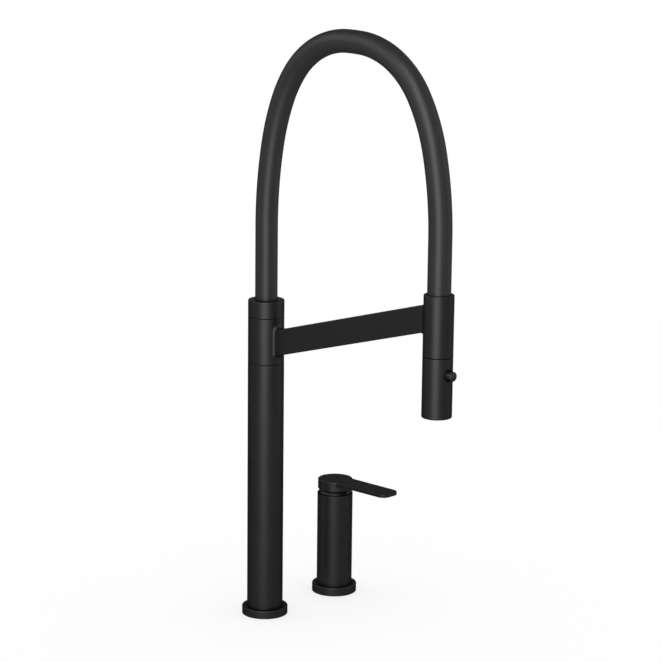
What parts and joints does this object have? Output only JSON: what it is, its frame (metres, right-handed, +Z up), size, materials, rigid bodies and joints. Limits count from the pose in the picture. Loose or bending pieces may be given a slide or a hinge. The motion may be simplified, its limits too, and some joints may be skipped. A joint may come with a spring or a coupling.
{
  "type": "kitchen tap",
  "caption": "Tall matt black kitchen tap with an arched hose, a docked pull-off hand spray on a slanted swivelling arm, and a separate single-lever mixer tower.",
  "frame": {"origin": "centre of the column's fixing thread, in the worktop plane under the column", "axes": "+Z up along the column; the holder arm, the spray and the lever point along -Y at rest; the lever tower stands at +X"},
  "size_m": [0.1433, 0.2613, 0.5765],
  "materials": {
    "matt_black": "matt black coating on metal",
    "black_hose": "smooth satin black silicone",
    "black_plastic": "matt black plastic",
    "inner_tube": "smooth translucent-grey drinking-water tube",
    "seal": "black sealing rubber",
    "nozzle_rubber": "soft dark grey silicone",
    "brass": "machined brass",
    "steel": "stainless steel",
    "magnet": "nickel-plated magnet",
    "ceramic": "polished ceramic",
    "pale_plastic": "pale engineering plastic"
  },
  "bodies": {
    "base": {"column_flange": "matt_black", "column_base_seal": "seal", "column_foot": "brass", "column_tube": "matt_black", "riser_pipe": "steel", "column_inlet": "brass", "swivel_spigot": "brass", "swivel_bush": "black_plastic", "swivel_o_rings": "seal", "tower_flange": "matt_black", "tower_base_seal": "seal", "tower_foot": "brass", "tower_shell": "matt_black", "valve_block": "brass", "port_sleeves": "brass", "base_seals": "seal", "cartridge_base": "pale_plastic", "disc_seals": "seal", "fixed_disc": "ceramic", "cartridge_housing": "pale_plastic", "cartridge_nut": "brass", "dome_ring": "matt_black"},
    "spout": {"holder_arm": "matt_black", "swivel_lock_screw": "steel", "dock_magnets": "magnet", "dock_pad": "black_plastic", "collar_washer": "black_plastic", "hose_collar": "matt_black", "hose_nipple": "brass", "hose_ferrule": "steel", "arch_hose": "black_hose", "inner_hose": "inner_tube"},
    "hose_end": {"hose_tail": "black_hose", "spray_nipple": "brass"},
    "spray": {"hose_nut": "matt_black", "spray_upper_shell": "matt_black", "spray_joint_ring": "black_plastic", "spray_lower_shell": "matt_black", "dock_plate": "steel", "spray_core": "black_plastic", "non_return_valve": "pale_plastic", "spool_plug": "pale_plastic", "flow_divider": "pale_plastic", "nozzle_mat": "nozzle_rubber", "spray_face": "black_plastic", "aerator": "black_plastic", "button_spring": "steel"},
    "button": {"diverter_button": "matt_black", "diverter_spool": "brass", "spool_o_rings": "seal"},
    "rotor": {"cartridge_rotor": "pale_plastic", "stem_pin": "steel"},
    "lever": {"lever_stem": "brass", "lever_handle": "matt_black", "lever_grub_screw": "steel", "screw_plug": "black_plastic"},
    "disc": {"moving_disc": "ceramic", "disc_carrier": "pale_plastic"}
  },
  "joints": [
    {"name": "spout_swivel", "type": "hinge", "parent": "base", "child": "spout", "pos_m": [0, 0, 0.26], "axis": [0, 0, 1], "range_deg": [-180, 180]},
    {"name": "spray_undock", "type": "slide", "parent": "spout", "child": "hose_end", "axis": [0, -1, 0], "range_m": [0, 0.06], "stiffness_N_per_m": 60, "springref_m": -0.03, "deforming": ["hose_tail", "inner_hose"]},
    {"name": "spray_turn", "type": "hinge", "parent": "hose_end", "child": "spray", "pos_m": [0, -0.2182, 0.3], "axis": [0, 0, 1], "continuous": true},
    {"name": "diverter_press", "type": "slide", "parent": "spray", "child": "button", "axis": [0, 1, 0], "range_m": [0, 0.0022], "stiffness_N_per_m": 800, "springref_m": -0.0015, "deforming": ["button_spring"]},
    {"name": "lever_turn", "type": "hinge", "parent": "base", "child": "rotor", "pos_m": [0.0985, 0, 0.092], "axis": [0, 0, 1], "range_deg": [-50, 50]},
    {"name": "lever_lift", "type": "hinge", "parent": "rotor", "child": "lever", "pos_m": [0.0985, 0, 0.092], "axis": [-1, 0, 0], "range_deg": [0, 22]},
    {"name": "disc_slide", "type": "slide", "parent": "rotor", "child": "disc", "axis": [0, -1, 0], "range_m": [0, 0.00335]}
  ],
  "couplings": [
    {"joint": "disc_slide", "follows": "lever_lift", "m_per_rad": 0.0086}
  ]
}
